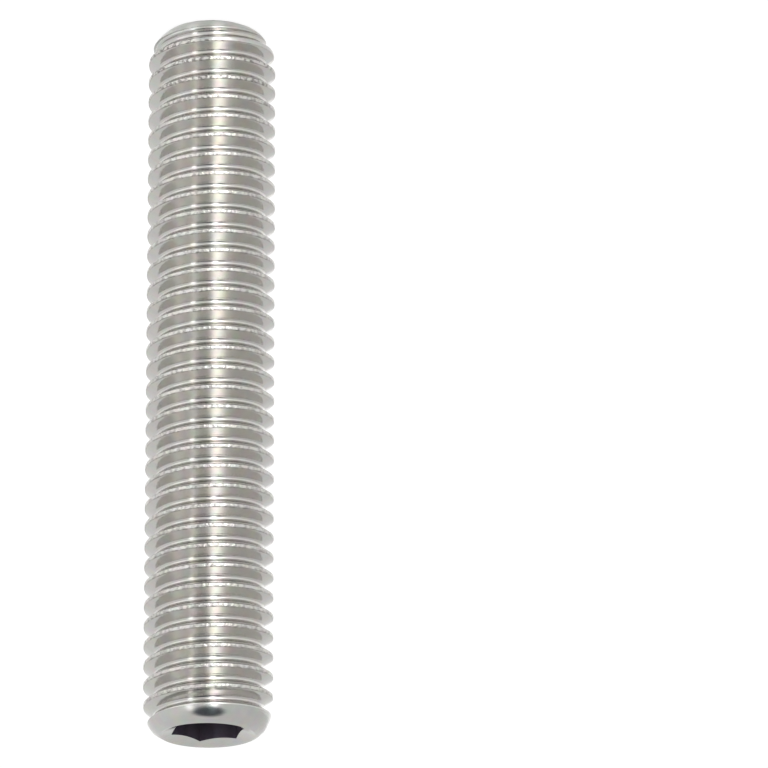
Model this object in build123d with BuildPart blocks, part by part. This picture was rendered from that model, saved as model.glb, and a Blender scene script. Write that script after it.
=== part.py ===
from build123d import *

import os
from math import radians, sqrt, tan

# Fully threaded M8 stud, stainless steel: a round bar with a chamfered flat at
# each end and a hexagon socket sunk in one of them. Sizes are in millimetres.
# The origin is the middle of the plain end, and +Z runs to the socket end.

# --- bar, over the crests of its M8 x 1.25 thread ---
length = 45.0
crest_diameter = 7.87

# --- flats that the chamfers leave at the two ends ---
point_diameter = 5.5
point_chamfer_angle = 45.0
rim_diameter = 6.0
rim_chamfer_angle = 45.0

# --- hexagon socket for a 4 mm key, in a dished end ---
across_flats = 4.0
socket_depth = 5.0
punch_tip_angle = 120.0
rim_land = 0.15
dish_angle = 135.0

crest_radius = crest_diameter / 2
point_radius = point_diameter / 2
rim_radius = rim_diameter / 2
point_chamfer = (crest_radius - point_radius) * tan(radians(point_chamfer_angle))
rim_chamfer = (crest_radius - rim_radius) * tan(radians(rim_chamfer_angle))

corner_radius = across_flats / sqrt(3)
punch_tip = corner_radius / tan(radians(punch_tip_angle / 2))
mouth_radius = rim_radius - rim_land
dish_cone = mouth_radius / tan(radians(dish_angle / 2))

# The punch that sinks the socket: a hexagon with a conical tip. Its full
# hexagon reaches socket_depth at the corners, and the tip goes on below.
with BuildPart() as punch:
    with BuildSketch(Plane.XY.offset(length)):
        RegularPolygon(across_flats / 2, 6, major_radius=False)
    extrude(amount=-(socket_depth + punch_tip))
    with BuildSketch(Plane.XZ):
        with BuildLine():
            Polyline(
                (0, length),
                (corner_radius, length),
                (corner_radius, length - socket_depth),
                (0, length - socket_depth - punch_tip),
                close=True,
            )
        make_face()
    revolve(axis=Axis.Z, mode=Mode.INTERSECT)

with BuildPart() as stud:
    # the bar is turned in one piece with both chamfers
    with BuildSketch(Plane.XZ):
        with BuildLine():
            Polyline(
                (0, 0),
                (point_radius, 0),
                (crest_radius, point_chamfer),
                (crest_radius, length - rim_chamfer),
                (rim_radius, length),
                (0, length),
                close=True,
            )
        make_face()
    revolve(axis=Axis.Z)

    add(punch.part, mode=Mode.SUBTRACT)

    # the end is dished from just inside its rim, so the shallow cone meets
    # each flat of the hexagon in a low scallop
    with BuildSketch(Plane.XZ):
        with BuildLine():
            Polyline(
                (0, length),
                (mouth_radius, length),
                (0, length - dish_cone),
                close=True,
            )
        make_face()
    revolve(axis=Axis.Z, mode=Mode.SUBTRACT)

stud.part.label = "stud"

os.makedirs("parts", exist_ok=True)
export_step(stud.part, "parts/stud.step")
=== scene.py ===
import bpy
import numpy as np
from math import cos, pi, radians, sin, sqrt, tan
from mathutils import Matrix, Vector


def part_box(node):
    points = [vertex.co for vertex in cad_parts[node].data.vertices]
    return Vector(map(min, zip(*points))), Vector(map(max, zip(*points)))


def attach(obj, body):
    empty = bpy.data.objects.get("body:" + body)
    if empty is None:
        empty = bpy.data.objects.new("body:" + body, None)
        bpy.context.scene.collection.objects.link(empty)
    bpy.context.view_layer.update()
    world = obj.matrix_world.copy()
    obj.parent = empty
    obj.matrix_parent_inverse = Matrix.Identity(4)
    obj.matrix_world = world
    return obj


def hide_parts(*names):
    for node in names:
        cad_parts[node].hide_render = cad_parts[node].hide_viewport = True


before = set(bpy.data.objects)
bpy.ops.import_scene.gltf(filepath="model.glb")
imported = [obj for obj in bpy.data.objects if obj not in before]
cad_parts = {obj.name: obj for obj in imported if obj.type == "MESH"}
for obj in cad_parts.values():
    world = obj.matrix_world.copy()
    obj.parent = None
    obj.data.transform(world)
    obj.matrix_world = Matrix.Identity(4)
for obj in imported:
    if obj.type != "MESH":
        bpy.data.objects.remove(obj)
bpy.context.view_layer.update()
stud_low, stud_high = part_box("stud")
scene = bpy.context.scene


# ---------------------------------------------------------------------------
# The table the stud is set down on: one sheet of matt white glass. It is not
# part of the stud, and the stud stands on it with its plain end.

table_half_side = 3.0
table_white = (0.86, 0.855, 0.85, 1.0)
table_glow = (0.25, 0.25, 0.25, 1.0)
backdrop_white = 1.04
backdrop_share = 0.9


def add_math(nodes, links, operation, first, second, third=0):
    math = nodes.new("ShaderNodeMath")
    math.operation = operation
    for socket, value in zip(math.inputs, (first, second, third)):
        if isinstance(value, (int, float)):
            socket.default_value = value
        else:
            links.new(value, socket)
    return math.outputs["Value"]


table_mesh = bpy.data.meshes.new("light_table")
table_mesh.from_pydata(
    [
        (-table_half_side, -table_half_side, stud_low.z),
        (table_half_side, -table_half_side, stud_low.z),
        (table_half_side, table_half_side, stud_low.z),
        (-table_half_side, table_half_side, stud_low.z),
    ],
    [],
    [(0, 1, 2, 3)],
)
table = bpy.data.objects.new("light_table", table_mesh)
scene.collection.objects.link(table)

table_glass = bpy.data.materials.new("table_glass")
table_glass.use_nodes = True
nodes, links = table_glass.node_tree.nodes, table_glass.node_tree.links
nodes.clear()
glass_out = nodes.new("ShaderNodeOutputMaterial")
glass_matt = nodes.new("ShaderNodeBsdfDiffuse")
glass_matt.inputs["Color"].default_value = table_white
glass_lit = nodes.new("ShaderNodeEmission")
glass_lit.inputs["Color"].default_value = table_glow
glass_sum = nodes.new("ShaderNodeAddShader")
glass_white = nodes.new("ShaderNodeEmission")
glass_white.inputs["Strength"].default_value = backdrop_white
glass_mix = nodes.new("ShaderNodeMixShader")
glass_seen = nodes.new("ShaderNodeLightPath")
glass_share = add_math(
    nodes, links, "MULTIPLY", glass_seen.outputs["Is Camera Ray"], backdrop_share
)
links.new(glass_matt.outputs["BSDF"], glass_sum.inputs[0])
links.new(glass_lit.outputs["Emission"], glass_sum.inputs[1])
links.new(glass_share, glass_mix.inputs["Fac"])
links.new(glass_sum.outputs["Shader"], glass_mix.inputs[1])
links.new(glass_white.outputs["Emission"], glass_mix.inputs[2])
links.new(glass_mix.outputs["Shader"], glass_out.inputs["Surface"])
table_mesh.materials.append(table_glass)


# ---------------------------------------------------------------------------
# The camera: a long lens that looks down on the socket end from the front and
# to one side. It is held upside down, so the plain end comes at the top.

view_turn = radians(-18.2)
view_height = radians(17.8)
view_distance = 0.427
lens_mm = 326.9
film_mm = 36.0
look_past_stud = 0.01065
look_lower = -0.00019
view_roll = radians(0.38)
nearest_seen, furthest_seen = 0.01, 20.0

stud_middle = (stud_low + stud_high) / 2
toward_camera = Vector((
    sin(view_turn) * cos(view_height),
    -cos(view_turn) * cos(view_height),
    sin(view_height),
))
view_right = Vector((-cos(view_turn), -sin(view_turn), 0.0))
view_up = toward_camera.cross(view_right)
eye = stud_middle + toward_camera * view_distance
aim = stud_middle + view_right * look_past_stud + view_up * look_lower
back = (eye - aim).normalized()
across = view_up.cross(back).normalized()
upright = back.cross(across)
turned = Matrix((across, upright, back)).transposed().to_4x4()

camera_data = bpy.data.cameras.new("camera")
camera_data.lens = lens_mm
camera_data.sensor_width = film_mm
camera_data.clip_start = nearest_seen
camera_data.clip_end = furthest_seen
camera = bpy.data.objects.new("camera", camera_data)
scene.collection.objects.link(camera)
camera.matrix_world = (
    Matrix.Translation(eye) @ turned @ Matrix.Rotation(view_roll, 4, "Z")
)
scene.camera = camera


# ---------------------------------------------------------------------------
# The light: a white room, dimmer on the right, with two tall strip lamps and a
# dark lens shade on the camera's side, a soft lamp overhead, and a fan of light
# in the table top before the stud, which draws the long streaks on the thread.

wall_white = (1.0, 1.0, 1.0, 1.0)
ceiling_white = (0.98, 0.98, 0.98, 1.0)
zenith_white = (0.95, 0.95, 0.95, 1.0)
left_gain, right_gain = 1.04, 0.84

# heights in the room are sines of the angle above the table
wall_top, ceiling_start = 0.60, 0.66

# the lens shade: its colour, how far it leans up from the camera, its reach
lens_shade = (0.09, 0.10, 0.115, 1.0)
shade_lean = 0.85
shade_core, shade_edge = radians(19), radians(31)

# the strip lamps: turn from the camera's side, half width and brightness, and
# the shares of the half width where each is full and where it has faded out
strip_lamps = (
    (radians(-36), radians(4.7), 1.8),
    (radians(11.5), radians(5.3), 3.2),
)
strip_core, strip_edge = 0.5, 1.4
strip_foot, strip_top = 0.45, 0.95

forward = Vector((toward_camera.x, toward_camera.y, 0)).normalized()
side = Vector((view_right.x, view_right.y, 0)).normalized()


def add_range(nodes, links, value, low, high, to_low, to_high, kind="SMOOTHSTEP"):
    spread = nodes.new("ShaderNodeMapRange")
    spread.interpolation_type = kind
    links.new(value, spread.inputs["Value"])
    spread.inputs["From Min"].default_value = low
    spread.inputs["From Max"].default_value = high
    spread.inputs["To Min"].default_value = to_low
    spread.inputs["To Max"].default_value = to_high
    return spread.outputs["Result"]


room = bpy.data.worlds.new("white_room")
scene.world = room
room.use_nodes = True
nodes, links = room.node_tree.nodes, room.node_tree.links
nodes.clear()
room_out = nodes.new("ShaderNodeOutputWorld")
room_mix = nodes.new("ShaderNodeMixShader")
room_seen = nodes.new("ShaderNodeLightPath")
room_plain = nodes.new("ShaderNodeBackground")
room_plain.inputs["Color"].default_value = (1.0, 1.0, 1.0, 1.0)
room_plain.inputs["Strength"].default_value = backdrop_white
room_light = nodes.new("ShaderNodeBackground")
room_way = nodes.new("ShaderNodeTexCoord").outputs["Generated"]
room_split = nodes.new("ShaderNodeSeparateXYZ")
links.new(room_way, room_split.inputs["Vector"])
room_height = nodes.new("ShaderNodeValToRGB")
ramp = room_height.color_ramp
ramp.elements[0].position = wall_top
ramp.elements[0].color = wall_white
ramp.elements[1].position = 1.0
ramp.elements[1].color = zenith_white
ramp.elements.new(ceiling_start).color = ceiling_white
links.new(room_split.outputs["Z"], room_height.inputs["Fac"])


def add_dot(nodes, links, vector, way):
    dot = nodes.new("ShaderNodeVectorMath")
    dot.operation = "DOT_PRODUCT"
    dot.inputs[1].default_value = way
    links.new(vector, dot.inputs[0])
    return dot.outputs["Value"]


room_strength = add_range(
    nodes, links, add_dot(nodes, links, room_way, side),
    -1.0, 1.0, left_gain, right_gain, "LINEAR",
)
strip_height = add_range(
    nodes, links, room_split.outputs["Z"], strip_foot, strip_top, 1.0, 0.0, "LINEAR"
)
for turn, half_width, gain in strip_lamps:
    toward_lamp = forward * cos(turn) + side * sin(turn)
    past_lamp = side * cos(turn) - forward * sin(turn)
    off_lamp = add_math(
        nodes, links, "ABSOLUTE", add_dot(nodes, links, room_way, past_lamp), 0
    )
    in_lamp = add_range(
        nodes, links, off_lamp,
        sin(half_width * strip_edge), sin(half_width * strip_core), 0.0, gain,
    )
    ahead = add_math(
        nodes, links, "GREATER_THAN", add_dot(nodes, links, room_way, toward_lamp), 0
    )
    lamp_ahead = add_math(nodes, links, "MULTIPLY", in_lamp, ahead)
    room_strength = add_math(
        nodes, links, "MULTIPLY_ADD", lamp_ahead, strip_height, room_strength
    )
links.new(room_strength, room_light.inputs["Strength"])

shade_way = (toward_camera + Vector((0, 0, shade_lean))).normalized()
in_shade = add_range(
    nodes, links, add_dot(nodes, links, room_way, shade_way),
    cos(shade_edge), cos(shade_core), 0.0, 1.0,
)
shade_mix = nodes.new("ShaderNodeMix")
shade_mix.data_type = "RGBA"
links.new(in_shade, shade_mix.inputs["Factor"])
links.new(room_height.outputs["Color"], shade_mix.inputs[6])
shade_mix.inputs[7].default_value = lens_shade
links.new(shade_mix.outputs[2], room_light.inputs["Color"])
links.new(room_seen.outputs["Is Camera Ray"], room_mix.inputs["Fac"])
links.new(room_light.outputs["Background"], room_mix.inputs[1])
links.new(room_plain.outputs["Background"], room_mix.inputs[2])
links.new(room_mix.outputs["Shader"], room_out.inputs["Surface"])

lamp_width, lamp_watts, lamp_height = 0.9, 2.3, 0.8
top_lamp_data = bpy.data.lights.new("top_lamp", "AREA")
top_lamp_data.shape = "DISK"
top_lamp_data.size = lamp_width
top_lamp_data.energy = lamp_watts
top_lamp = bpy.data.objects.new("top_lamp", top_lamp_data)
scene.collection.objects.link(top_lamp)
top_lamp.location = (0, 0, lamp_height)
top_lamp.visible_camera = False
top_lamp.visible_glossy = False

# the table top by its turn from the camera's side, in degrees: how much it glows, and
# how much it is dimmed further out, where the camera stands over it, as painted shade
# of the camera seen only in reflections
fan_glow = (
    (-150, 0.0, 0.0), (-92, 0.0, 0.0), (-84, 0.2, 0.0), (-78, 0.55, 0.0),
    (-70, 0.55, 0.0), (-60, 0.35, 0.0), (-48, 0.35, 0.0), (-43, 0.55, 0.0),
    (-39, 1.05, 0.0), (-35, 0.75, 0.0), (-31, 0.45, 0.0), (-27, 0.1, 0.1),
    (-21, 0.0, 0.40), (-9, 0.0, 0.40), (-3, 0.4, 0.1), (4, 2.1, 0.0),
    (10, 3.2, 0.0), (18, 3.3, 0.0), (24, 2.4, 0.0), (31, 1.3, 0.0),
    (38, 0.5, 0.0), (50, 0.10, 0.0), (62, 0.0, 0.0), (150, 0.0, 0.0),
)

# the glow of the ring of table round the foot, by its turn in degrees, which
# the plain end's chamfer mirrors
foot_glow = (
    (-180, 0.16), (-34, 0.16), (-26, 0.9), (-19, 0.9), (-13, 0.0), (-2, 0.0),
    (4, 1.2), (11, 1.2), (16, 0.16), (180, 0.16),
)
foot_edge, foot_steps = 0.0028, 144
inner_glow = foot_glow[0][1]

fan_lift = 0.00008
fan_apex = forward * 0.0019
fan_edge, fan_reach = 0.0043, 0.30
dim_from, dim_full = 0.042, 0.075
fan_rows = 4

fan_level = Vector((0, 0, stud_low.z + fan_lift))
fan_points, fan_shine, fan_unshaded, fan_faces = [], [], [], []
for turn, glow, camera_shade in fan_glow:
    way = forward * cos(radians(turn)) + side * sin(radians(turn))
    lean = way.dot(fan_apex)
    run_out = -lean + sqrt(lean**2 + fan_edge**2 - fan_apex.length_squared)
    for reach, shade_share in (
        (run_out, 0.0), (dim_from, 0.0), (dim_full, camera_shade), (fan_reach, camera_shade)
    ):
        fan_points.append(fan_apex + way * reach + fan_level)
        fan_shine.append(glow)
        fan_unshaded.append(1 - shade_share)
for n in range(len(fan_glow) - 1):
    for row in range(fan_rows - 1):
        here = fan_rows * n + row
        fan_faces.append((here, here + 1, here + fan_rows + 1, here + fan_rows))
foot_first = len(fan_points)
for n in range(foot_steps):
    turn = 360 * n / foot_steps - 180
    way = forward * cos(radians(turn)) + side * sin(radians(turn))
    outer_glow = float(np.interp(turn, *zip(*foot_glow)))
    for reach, glow in ((foot_edge, inner_glow), (fan_edge, outer_glow)):
        fan_points.append(way * reach + fan_level)
        fan_shine.append(glow)
        fan_unshaded.append(1.0)
    after = (n + 1) % foot_steps
    fan_faces.append((
        foot_first + 2 * n, foot_first + 2 * n + 1,
        foot_first + 2 * after + 1, foot_first + 2 * after,
    ))
fan_mesh = bpy.data.meshes.new("light_fan")
fan_mesh.from_pydata(fan_points, [], fan_faces)
for label, values in (("glow", fan_shine), ("clear", fan_unshaded)):
    fan_mesh.attributes.new(label, "FLOAT", "POINT").data.foreach_set("value", values)
fan_light = bpy.data.materials.new("fan_light")
fan_light.use_nodes = True
nodes, links = fan_light.node_tree.nodes, fan_light.node_tree.links
nodes.clear()
fan_out = nodes.new("ShaderNodeOutputMaterial")
fan_sum = nodes.new("ShaderNodeAddShader")
fan_clear = nodes.new("ShaderNodeBsdfTransparent")
fan_lit = nodes.new("ShaderNodeEmission")
fan_spread = nodes.new("ShaderNodeAttribute")
fan_spread.attribute_name = "glow"
# a clear colour below one darkens the table behind the fan: painted shade of the
# camera
fan_dimming = nodes.new("ShaderNodeAttribute")
fan_dimming.attribute_name = "clear"
links.new(fan_spread.outputs["Fac"], fan_lit.inputs["Strength"])
links.new(fan_dimming.outputs["Fac"], fan_clear.inputs["Color"])
links.new(fan_clear.outputs["BSDF"], fan_sum.inputs[0])
links.new(fan_lit.outputs["Emission"], fan_sum.inputs[1])
links.new(fan_sum.outputs["Shader"], fan_out.inputs["Surface"])
fan_mesh.materials.append(fan_light)
light_fan = bpy.data.objects.new("light_fan", fan_mesh)
scene.collection.objects.link(light_fan)
light_fan.visible_camera = False
light_fan.visible_shadow = False
light_fan.visible_diffuse = False

scene.view_settings.view_transform = "Standard"
scene.view_settings.look = "None"


# ---------------------------------------------------------------------------
# The stud: a stainless bar with an M8 x 1.25 thread rolled on it from end to
# end. Both ends are chamfered before rolling, and one end is dished and has a
# hexagon socket for a 4 mm key punched in it. One solid piece.

mm = 0.001
stud_length = stud_high.z - stud_low.z
crest_radius = stud_high.x
pitch = 1.25 * mm
thread_start = 0.150
crest_flat = 0.231 * mm
root_round = 0.23 * mm
flank_slope = sqrt(3)
root_radius = crest_radius + root_round - flank_slope * (pitch - crest_flat) / 2
crest_soft = 0.05 * mm

# each end's face radius, the bulge and the steepness of its chamfer, and the
# softness of the edge round its face
plain_end = (2.74 * mm, 2.67 * mm, radians(58), 0.08 * mm)
socket_end = (2.98 * mm, 1.60 * mm, radians(62), 0.08 * mm)
chamfer_soft = 0.08 * mm
end_taper = radians(15)

# at the socket end the groove starts to fade, and has faded, this far from the
# face, and it is lifted by this much
fade_run, fade_end, fade_lift = 1.05 * mm, 0.50 * mm, 0.40 * mm

# wear on the crests, the share of the pitch that it covers, and how far below
# the crest it still counts as one
crest_wear, worn_share, worn_depth = 0.0035 * mm, 0.12, 0.3 * mm

# the points of one turn: round the stud, and along it from a root to the crest
# and on to the next root, closest together where the curve is tightest
columns = 132
half_steps = np.array([0, 0.08, 0.145, 0.20, 0.44, 0.485, 0.51, 0.535, 0.58]) * mm
steps = np.concatenate([half_steps, [pitch / 2], pitch - half_steps[:0:-1]])
steps_a_turn = len(steps)
turns = int(round(stud_length / pitch)) + 3
turns_before = 2


def softly_lower(first, second, softness):
    return (first + second - np.sqrt((first - second) ** 2 + softness**2)) / 2


def thread_radius_at(run):
    # height of the rolled thread over one pitch, from root to root
    off_root = np.abs((run / pitch + 0.5) % 1 - 0.5) * pitch
    bowl = root_radius + root_round - np.sqrt(
        np.maximum(root_round**2 - off_root**2, 0)
    )
    flank = root_radius - root_round + flank_slope * off_root
    groove = np.where(off_root < root_round * sqrt(3) / 2, bowl, flank)
    return softly_lower(groove, np.full_like(groove, crest_radius), crest_soft)


def chamfer_radius_at(from_end, face_radius, bulge, steepness, face_soft):
    # a bulged chamfer that runs out in a slight taper, with a soft edge where
    # it meets the face
    run = np.maximum(from_end, 0)
    start = bulge * sin(steepness)
    on_arc = np.minimum(run, start - bulge * sin(end_taper))
    arc = np.sqrt(bulge**2 - (start - on_arc) ** 2) - bulge * cos(steepness)
    edge = np.sqrt(run**2 + 2 * face_soft * run) - run - face_soft
    return face_radius + arc + (run - on_arc) * tan(end_taper) + edge


def ease(value):
    value = np.clip(value, 0, 1)
    return value * value * (3 - 2 * value)


def stud_radius_at(run, z):
    # at the socket end the groove fades out before it reaches the rim
    from_socket = stud_length - z
    fade = ease((fade_run - from_socket) / (fade_run - fade_end))
    radius = thread_radius_at(run) + fade_lift * fade
    for from_end, end in ((z, plain_end), (from_socket, socket_end)):
        radius = softly_lower(radius, chamfer_radius_at(from_end, *end), chamfer_soft)
    return radius


wear_seed = 8
rng = np.random.default_rng(wear_seed)
turn_index, step_index = np.divmod(np.arange(turns * steps_a_turn), steps_a_turn)
row_run = ((turn_index - turns_before) * pitch + steps[step_index])[:, None]
angle = 2 * pi * np.arange(columns) / columns
turned_part = angle[None, :] / (2 * pi) + thread_start
run_z = row_run + turned_part * pitch
radius = stud_radius_at(row_run, run_z)
off_crest = np.abs((row_run / pitch) % 1 - 0.5)
on_crest = (off_crest < worn_share) & (radius > crest_radius - worn_depth)
wear = np.where(on_crest, rng.normal(0, crest_wear, radius.shape), 0)
radius = np.minimum(radius + wear, crest_radius)

# which way the surface faces, worked out from the same curve
nudge = 0.002 * mm
rise = (
    stud_radius_at(row_run + nudge, run_z + nudge)
    - stud_radius_at(row_run - nudge, run_z - nudge)
) / (2 * nudge)
twist = (
    stud_radius_at(row_run - nudge, run_z) - stud_radius_at(row_run + nudge, run_z)
) / (2 * nudge) * pitch / (2 * pi) / radius
facing = np.stack([
    np.cos(angle) + twist * np.sin(angle),
    np.sin(angle) - twist * np.cos(angle),
    -rise,
], axis=-1)
facing /= np.linalg.norm(facing, axis=-1, keepdims=True)

# rows closer than a hair to a face join its edge, which leans outward
hair = 0.004 * mm
edge_lean = 2.4
vertices = []
vertex_facing = []
for (face_radius, bulge, steepness, face_soft), z, lean in (
    (plain_end, 0.0, -1.0), (socket_end, stud_length, 1.0)
):
    edge = face_radius - face_soft
    vertices += [(edge * cos(a), edge * sin(a), z) for a in angle]
    vertex_facing += [
        Vector((cos(a), sin(a), edge_lean * lean)).normalized() for a in angle
    ]
plain_ring = list(range(columns))
socket_ring = list(range(columns, 2 * columns))
number = np.empty(run_z.shape, int)
for row in range(run_z.shape[0]):
    for column in range(columns):
        z = run_z[row, column]
        if z <= hair:
            number[row, column] = plain_ring[column]
        elif z >= stud_length - hair:
            number[row, column] = socket_ring[column]
        else:
            number[row, column] = len(vertices)
            r = radius[row, column]
            vertices.append((r * cos(angle[column]), r * sin(angle[column]), z))
            vertex_facing.append(Vector(facing[row, column]))

profile_steps = np.append(steps, pitch)
profile = np.concatenate([[0], np.cumsum(np.hypot(
    np.diff(profile_steps), np.diff(thread_radius_at(profile_steps)),
))])
profile_length = profile[-1]

# the three finishes, and the share of the flat sheet that the thread takes
rolled, turned_finish, punched = 0, 1, 2
side_share = 0.85
faces, face_run, face_sheet, face_finish = [], [], [], []
last_row = run_z.shape[0] - 1
for row in range(last_row):
    for column in range(columns):
        after = column + 1
        shift = 0
        if after == columns:
            after, shift = 0, steps_a_turn
        right = [min(row + shift, last_row), min(row + 1 + shift, last_row)]
        corners = [
            (number[row, column], 0, 0),
            (number[right[0], after], 1, 0),
            (number[right[1], after], 1, 1),
            (number[row + 1, column], 0, 1),
        ]
        kept = [c for n, c in enumerate(corners) if c[0] != corners[n - 1][0]]
        if len(set(c[0] for c in kept)) < 3:
            continue
        faces.append([c[0] for c in kept])
        turn = turn_index[row]
        face_run.append([
            (
                (turn + (column + c[1]) / columns) * 2 * pi * crest_radius / mm,
                profile[step_index[row] + c[2]] / mm,
            )
            for c in kept
        ])
        face_sheet.append([
            (
                (column + c[1]) / columns,
                (turn + profile[step_index[row] + c[2]] / profile_length)
                / turns * side_share,
            )
            for c in kept
        ])
        z = run_z[row, column]
        r = radius[row, column]
        cut = min(
            chamfer_radius_at(z, *plain_end),
            chamfer_radius_at(stud_length - z, *socket_end),
        )
        on_chamfer = cut < thread_radius_at(row_run[row])[0]
        face_finish.append(turned_finish if on_chamfer else rolled)
thread_faces = len(faces)

# socket end: a narrow rim, the dish, six flats and the punch's tip
across_flats = 4.0 * mm
socket_depth = 5.0 * mm
dish_radius, rim_radius = 2.85 * mm, 2.72 * mm
dish_angle, tip_angle = 135, 120
dish_slope = tan(radians(dish_angle / 2))
tip_slope = tan(radians(tip_angle / 2))
corner_radius = across_flats / sqrt(3)

# a nudge keeps a point on a corner from falling to the wrong side of it
corner_nudge = 1e-9
flat_radius = np.array([
    across_flats / 2 / cos((a + corner_nudge) % (pi / 3) - pi / 6) for a in angle
])
dish_depth = (dish_radius - flat_radius) / dish_slope
tip_depth = socket_depth + (corner_radius - flat_radius) / tip_slope


def add_ring(radii, depths):
    first = len(vertices)
    for a, r, d in zip(angle, radii, depths):
        vertices.append((r * cos(a), r * sin(a), stud_length - d))
    return list(range(first, first + columns))


rings = [socket_ring]
for inward in (0.0, 0.33, 0.67, 1.0):
    radii = rim_radius + (flat_radius - rim_radius) * inward
    rings.append(add_ring(radii, (dish_radius - radii) / dish_slope))
dish_rings = len(rings)
for part_way in (0.02, 0.08, 0.3, 0.65, 1.0):
    depths = dish_depth + (tip_depth - dish_depth) * part_way
    rings.append(add_ring(flat_radius, depths))
for inward in (0.7, 0.35, 0.02):
    radii = flat_radius * inward
    rings.append(add_ring(radii, socket_depth + (corner_radius - radii) / tip_slope))

# where on the flat sheet the two ends lie, each as a disc of this radius
socket_middle = (0.24, 0.93)
plain_middle = (0.08, 0.93)
round_sheet = 0.065


def on_disc(middle, spread, column):
    bearing = 2 * pi * column / columns
    return middle[0] + spread * cos(bearing), middle[1] + spread * sin(bearing)


for n, (outer, inner) in enumerate(zip(rings, rings[1:])):
    spread = [round_sheet * (1 - k / len(rings)) for k in (n, n + 1)]
    for column in range(columns):
        after = (column + 1) % columns
        faces.append([outer[column], outer[after], inner[after], inner[column]])
        face_finish.append(turned_finish if n + 1 < dish_rings else punched)
        face_sheet.append([
            on_disc(socket_middle, spread[way], column + c)
            for way, c in ((0, 0), (0, 1), (1, 1), (1, 0))
        ])
faces.append(rings[-1])
face_finish.append(punched)
face_sheet.append([on_disc(socket_middle, spread[1], n) for n in range(columns)])

# plain end: the turned face it stands on
plain_rings = [plain_ring]
for inward in (0.92, 0.4, 0.05):
    first = len(vertices)
    r = (plain_end[0] - plain_end[3]) * inward
    vertices += [(r * cos(a), r * sin(a), 0.0) for a in angle]
    plain_rings.append(list(range(first, first + columns)))
for n, (outer, inner) in enumerate(zip(plain_rings, plain_rings[1:])):
    spread = [round_sheet * (1 - k / len(plain_rings)) for k in (n, n + 1)]
    for column in range(columns):
        after = (column + 1) % columns
        faces.append([outer[after], outer[column], inner[column], inner[after]])
        face_finish.append(turned_finish)
        face_sheet.append([
            on_disc(plain_middle, spread[way], column + c)
            for way, c in ((0, 1), (0, 0), (1, 0), (1, 1))
        ])
faces.append(plain_rings[-1][::-1])
face_finish.append(turned_finish)
face_sheet.append([
    on_disc(plain_middle, spread[1], n) for n in reversed(range(columns))
])

stud_foot = Vector((0, 0, stud_low.z))
stud_mesh = bpy.data.meshes.new("threaded_stud")
stud_mesh.from_pydata([Vector(v) + stud_foot for v in vertices], [], faces)
stud_mesh.polygons.foreach_set("material_index", face_finish)
stud_mesh.update()

# one map runs along the thread in millimetres; the other lays every face out
# flat with none over another, for a painted copy of the finishes
sheet_map = stud_mesh.uv_layers.new(name="OFBake")
sheet = np.array([corner for face in face_sheet for corner in face], np.float32)
sheet_map.uv.foreach_set("vector", sheet.ravel())
run_map = stud_mesh.uv_layers.new(name="along_thread")
runs = [corner for face in face_run for corner in face]
runs += [(0.0, 0.0)] * sum(len(face) for face in faces[thread_faces:])
run_map.uv.foreach_set("vector", np.array(runs, np.float32).ravel())

# the thread and chamfers shade as worked out above, the rest by its faces
sharp_edge = radians(38)
stud_mesh.shade_smooth()
stud_mesh.set_sharp_from_angle(angle=sharp_edge)
normals = []
for n, face in enumerate(faces):
    for corner in face:
        normals.append(vertex_facing[corner] if n < thread_faces else (0, 0, 0))
stud_mesh.normals_split_custom_set(normals)
stud = bpy.data.objects.new("threaded_stud", stud_mesh)
scene.collection.objects.link(stud)


def make_group(name, inputs, outputs):
    group = bpy.data.node_groups.new(name, "ShaderNodeTree")
    for label, kind in inputs:
        group.interface.new_socket(name=label, in_out="INPUT", socket_type=kind)
    for label, kind in outputs:
        group.interface.new_socket(name=label, in_out="OUTPUT", socket_type=kind)
    return group, group.nodes.new("NodeGroupInput"), group.nodes.new("NodeGroupOutput")


# fine lines that the die, the lathe tool or the punch leaves: the run is
# stretched by the scale, so the lines follow the axis with the least
tool_lines, lines_in, lines_out = make_group(
    "tool_lines",
    (("Run", "NodeSocketVector"), ("Scale", "NodeSocketVector")),
    (("Lines", "NodeSocketFloat"), ("Patches", "NodeSocketFloat")),
)
nodes, links = tool_lines.nodes, tool_lines.links
stretched = nodes.new("ShaderNodeVectorMath")
stretched.operation = "MULTIPLY"
links.new(lines_in.outputs["Run"], stretched.inputs[0])
links.new(lines_in.outputs["Scale"], stretched.inputs[1])
for label, scale, detail in (("Lines", 1.0, 2.5), ("Patches", 0.23, 1.0)):
    grain = nodes.new("ShaderNodeTexNoise")
    grain.inputs["Scale"].default_value = scale
    grain.inputs["Detail"].default_value = detail
    links.new(stretched.outputs["Vector"], grain.inputs["Vector"])
    links.new(grain.outputs["Fac"], lines_out.inputs[label])

# a faint change of colour over the steel, from oil and from the heat of rolling
clouds_a_metre, cloud_detail = 1500.0, 1.5
heat_tint, tint_in, tint_out = make_group(
    "heat_tint",
    (
        ("Place", "NodeSocketVector"),
        ("Steel", "NodeSocketColor"),
        ("Amount", "NodeSocketFloat"),
    ),
    (("Color", "NodeSocketColor"),),
)
nodes, links = heat_tint.nodes, heat_tint.links
cloud = nodes.new("ShaderNodeTexNoise")
cloud.inputs["Scale"].default_value = clouds_a_metre
cloud.inputs["Detail"].default_value = cloud_detail
links.new(tint_in.outputs["Place"], cloud.inputs["Vector"])
off_grey = nodes.new("ShaderNodeVectorMath")
off_grey.operation = "SUBTRACT"
off_grey.inputs[1].default_value = (0.5, 0.5, 0.5)
links.new(cloud.outputs["Color"], off_grey.inputs[0])
weaker = nodes.new("ShaderNodeVectorMath")
weaker.operation = "SCALE"
links.new(off_grey.outputs["Vector"], weaker.inputs[0])
links.new(tint_in.outputs["Amount"], weaker.inputs["Scale"])
around_one = nodes.new("ShaderNodeVectorMath")
around_one.operation = "ADD"
around_one.inputs[1].default_value = (1.0, 1.0, 1.0)
links.new(weaker.outputs["Vector"], around_one.inputs[0])
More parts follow.
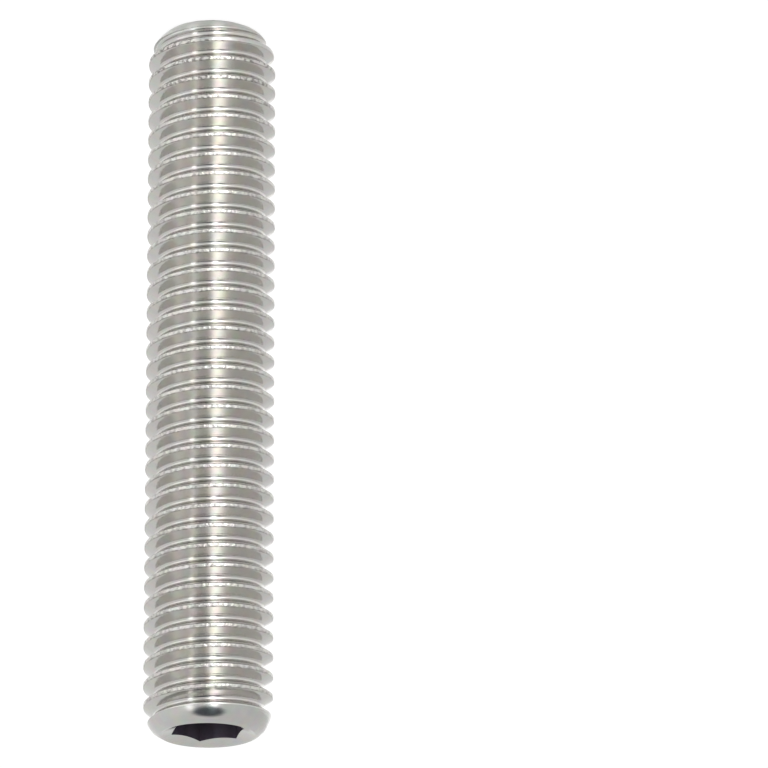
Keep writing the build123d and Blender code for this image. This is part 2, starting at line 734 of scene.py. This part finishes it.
tinted = nodes.new("ShaderNodeVectorMath")
tinted.operation = "MULTIPLY"
links.new(around_one.outputs["Vector"], tinted.inputs[0])
links.new(tint_in.outputs["Steel"], tinted.inputs[1])
links.new(tinted.outputs["Vector"], tint_out.inputs["Color"])


def start_steel(name, steel_colour, tint_amount, scale):
    # a steel with its tint and its tool lines, whose roughness and bump follow
    steel = bpy.data.materials.new(name)
    steel.use_nodes = True
    nodes, links = steel.node_tree.nodes, steel.node_tree.links
    shader = nodes["Principled BSDF"]
    shader.inputs["Metallic"].default_value = 1.0
    place = nodes.new("ShaderNodeTexCoord").outputs["Object"]
    tint = nodes.new("ShaderNodeGroup")
    tint.node_tree = heat_tint
    links.new(place, tint.inputs["Place"])
    tint.inputs["Steel"].default_value = steel_colour
    tint.inputs["Amount"].default_value = tint_amount
    links.new(tint.outputs["Color"], shader.inputs["Base Color"])
    lines = nodes.new("ShaderNodeGroup")
    lines.node_tree = tool_lines
    lines.inputs["Scale"].default_value = scale
    bump = nodes.new("ShaderNodeBump")
    links.new(bump.outputs["Normal"], shader.inputs["Normal"])
    return steel, nodes, links, shader, place, tint, lines, bump


# the range of the patches over which a steel goes from its smooth to its rough
patch_low, patch_high = 0.3, 0.7

# rolled thread: bright and smooth with lines along it, nicked on the crests; the nicks
# are also painted darker, as painted shade in the dents, and more so on the first
# turns at the plain end
rolled_colour = (0.49, 0.48, 0.457, 1.0)
rolled_tint, rolled_lines = 0.20, (0.7, 8.0, 0.0)
# the darker colour of the nicks is painted shade in the dents
nick_shade_colour = (0.20, 0.19, 0.18, 1.0)
crest_full, crest_faded = 0.09, 0.17
nicks_a_mm, nick_detail = 4.5, 2.0
nick_start, nick_full, nick_shade_strength = 0.46, 0.60, 0.50
knocked_up_to, unhurt_from, knocked_gain = 3.5 * mm, 7 * mm, 1.9
line_height, nick_depth = 0.06, 0.055 * mm
rolled_smooth, rolled_rough, crest_rougher = 0.11, 0.17, 0.09

rolled_steel, nodes, links, shader, place, tint, lines, bump = start_steel(
    "rolled_stainless", rolled_colour, rolled_tint, rolled_lines
)
thread_run = nodes.new("ShaderNodeUVMap")
thread_run.uv_map = "along_thread"
links.new(thread_run.outputs["UV"], lines.inputs["Run"])
run_parts = nodes.new("ShaderNodeSeparateXYZ")
links.new(thread_run.outputs["UV"], run_parts.inputs["Vector"])
past_crest = add_math(
    nodes, links, "SUBTRACT", run_parts.outputs["Y"], profile_length / mm / 2
)
crest_mask = add_range(
    nodes, links, add_math(nodes, links, "ABSOLUTE", past_crest, 0),
    crest_full, crest_faded, 1.0, 0.0,
)
nicks = nodes.new("ShaderNodeTexNoise")
nicks.inputs["Scale"].default_value = nicks_a_mm
nicks.inputs["Detail"].default_value = nick_detail
links.new(thread_run.outputs["UV"], nicks.inputs["Vector"])
up_stud = nodes.new("ShaderNodeSeparateXYZ")
links.new(place, up_stud.inputs["Vector"])
knocked = add_range(
    nodes, links, up_stud.outputs["Z"], knocked_up_to, unhurt_from, knocked_gain, 1.0
)
nicked_here = add_range(
    nodes, links, nicks.outputs["Fac"], nick_start, nick_full, 0.0, nick_shade_strength
)
nick_shade_mask = add_math(
    nodes, links, "MULTIPLY", crest_mask,
    add_math(nodes, links, "MULTIPLY", knocked, nicked_here),
)
# painted shade: the nicks darken the base colour
nick_shaded = nodes.new("ShaderNodeMix")
nick_shaded.data_type = "RGBA"
links.new(nick_shade_mask, nick_shaded.inputs["Factor"])
links.new(tint.outputs["Color"], nick_shaded.inputs[6])
nick_shaded.inputs[7].default_value = nick_shade_colour
links.new(nick_shaded.outputs[2], shader.inputs["Base Color"])
height = nodes.new("ShaderNodeMix")
links.new(crest_mask, height.inputs["Factor"])
links.new(
    add_math(nodes, links, "MULTIPLY", lines.outputs["Lines"], line_height),
    height.inputs["A"],
)
links.new(nicks.outputs["Fac"], height.inputs["B"])
links.new(height.outputs["Result"], bump.inputs["Height"])
bump.inputs["Distance"].default_value = nick_depth
rolled_patches = add_range(
    nodes, links, lines.outputs["Patches"],
    patch_low, patch_high, rolled_smooth, rolled_rough,
)
links.new(
    add_math(
        nodes, links, "ADD", rolled_patches,
        add_math(nodes, links, "MULTIPLY", crest_mask, crest_rougher),
    ),
    shader.inputs["Roughness"],
)
stud_mesh.materials.append(rolled_steel)

# turned ends and chamfers: satin, with rings around the axis
turned_colour = (0.48, 0.48, 0.46, 1.0)
turned_tint, turned_lines = 0.24, (2.0, 2.0, 14.0)
ring_depth = 0.0018 * mm
turned_smooth, turned_rough = 0.16, 0.24

turned_steel, nodes, links, shader, place, tint, lines, bump = start_steel(
    "turned_stainless", turned_colour, turned_tint, turned_lines
)
place_parts = nodes.new("ShaderNodeSeparateXYZ")
links.new(place, place_parts.inputs["Vector"])
flat_place = nodes.new("ShaderNodeCombineXYZ")
links.new(place_parts.outputs["X"], flat_place.inputs["X"])
links.new(place_parts.outputs["Y"], flat_place.inputs["Y"])
off_axis = nodes.new("ShaderNodeVectorMath")
off_axis.operation = "LENGTH"
links.new(flat_place.outputs["Vector"], off_axis.inputs[0])
bearing = nodes.new("ShaderNodeVectorMath")
bearing.operation = "NORMALIZE"
links.new(flat_place.outputs["Vector"], bearing.inputs[0])
bearing_parts = nodes.new("ShaderNodeSeparateXYZ")
links.new(bearing.outputs["Vector"], bearing_parts.inputs["Vector"])
ring_run = nodes.new("ShaderNodeCombineXYZ")
links.new(bearing_parts.outputs["X"], ring_run.inputs["X"])
links.new(bearing_parts.outputs["Y"], ring_run.inputs["Y"])
off_axis_mm = add_math(nodes, links, "DIVIDE", off_axis.outputs["Value"], mm)
links.new(off_axis_mm, ring_run.inputs["Z"])
links.new(ring_run.outputs["Vector"], lines.inputs["Run"])
links.new(lines.outputs["Lines"], bump.inputs["Height"])
bump.inputs["Distance"].default_value = ring_depth
links.new(
    add_range(
        nodes, links, lines.outputs["Patches"],
        patch_low, patch_high, turned_smooth, turned_rough,
    ),
    shader.inputs["Roughness"],
)
stud_mesh.materials.append(turned_steel)

# punched socket: painted dark, as painted shade down in the hole, and drawn down by
# the punch
# the socket's dark colour is painted shade
socket_shade_colour = (0.15, 0.125, 0.165, 1.0)
punched_tint, punched_lines = 0.3, (8000.0, 8000.0, 600.0)
punched_metallic = 0.8
drawn_depth = 0.004 * mm
punched_smooth, punched_rough = 0.32, 0.48

shaded_socket_steel, nodes, links, shader, place, tint, lines, bump = start_steel(
    "punched_socket_painted_shade", socket_shade_colour, punched_tint, punched_lines
)
shader.inputs["Metallic"].default_value = punched_metallic
links.new(place, lines.inputs["Run"])
links.new(lines.outputs["Lines"], bump.inputs["Height"])
bump.inputs["Distance"].default_value = drawn_depth
links.new(
    add_range(
        nodes, links, lines.outputs["Patches"],
        patch_low, patch_high, punched_smooth, punched_rough,
    ),
    shader.inputs["Roughness"],
)
stud_mesh.materials.append(shaded_socket_steel)

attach(stud, "root")
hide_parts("stud")
